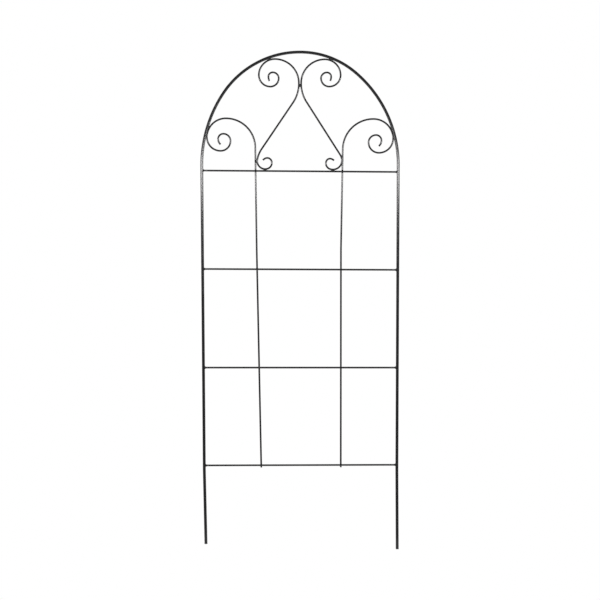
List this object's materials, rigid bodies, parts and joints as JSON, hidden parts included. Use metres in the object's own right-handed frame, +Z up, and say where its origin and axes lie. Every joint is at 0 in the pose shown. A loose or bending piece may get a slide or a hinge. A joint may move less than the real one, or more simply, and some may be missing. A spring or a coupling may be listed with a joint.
{
  "type": "espalier frame",
  "caption": "Flat arched garden trellis of black coated steel wire with rails, uprights and scrolls, staked into soil by its legs to hold a trained plant",
  "frame": {"origin": "middle of the box that holds the frame, at the level of the right foot's cut end", "axes": "+X to the right seen from the front, +Y to the back, where the uprights lie behind the rails, +Z up to the crown of the arch"},
  "size_m": [0.6, 0.0131, 1.5],
  "materials": {
    "coated_rod": "black satin powder coat on steel rod",
    "coated_wire": "black satin powder coat on steel wire",
    "coated_weld": "black satin powder coat on weld metal"
  },
  "bodies": {
    "root": {"outer_hoop": "coated_rod", "left_upright": "coated_wire", "right_upright": "coated_wire", "left_lyre_scroll": "coated_wire", "right_lyre_scroll": "coated_wire", "top_rail": "coated_wire", "upper_rail": "coated_wire", "lower_rail": "coated_wire", "bottom_rail": "coated_wire", "left_rail_end_welds": "coated_weld", "right_rail_end_welds": "coated_weld", "left_crossing_welds": "coated_weld", "right_crossing_welds": "coated_weld", "left_shoulder_weld": "coated_weld", "right_shoulder_weld": "coated_weld", "left_crown_weld": "coated_weld", "right_crown_weld": "coated_weld", "neck_weld": "coated_weld", "left_curl_rail_weld": "coated_weld", "right_curl_rail_weld": "coated_weld", "left_curl_upright_weld": "coated_weld", "right_curl_upright_weld": "coated_weld"}
  },
  "joints": []
}
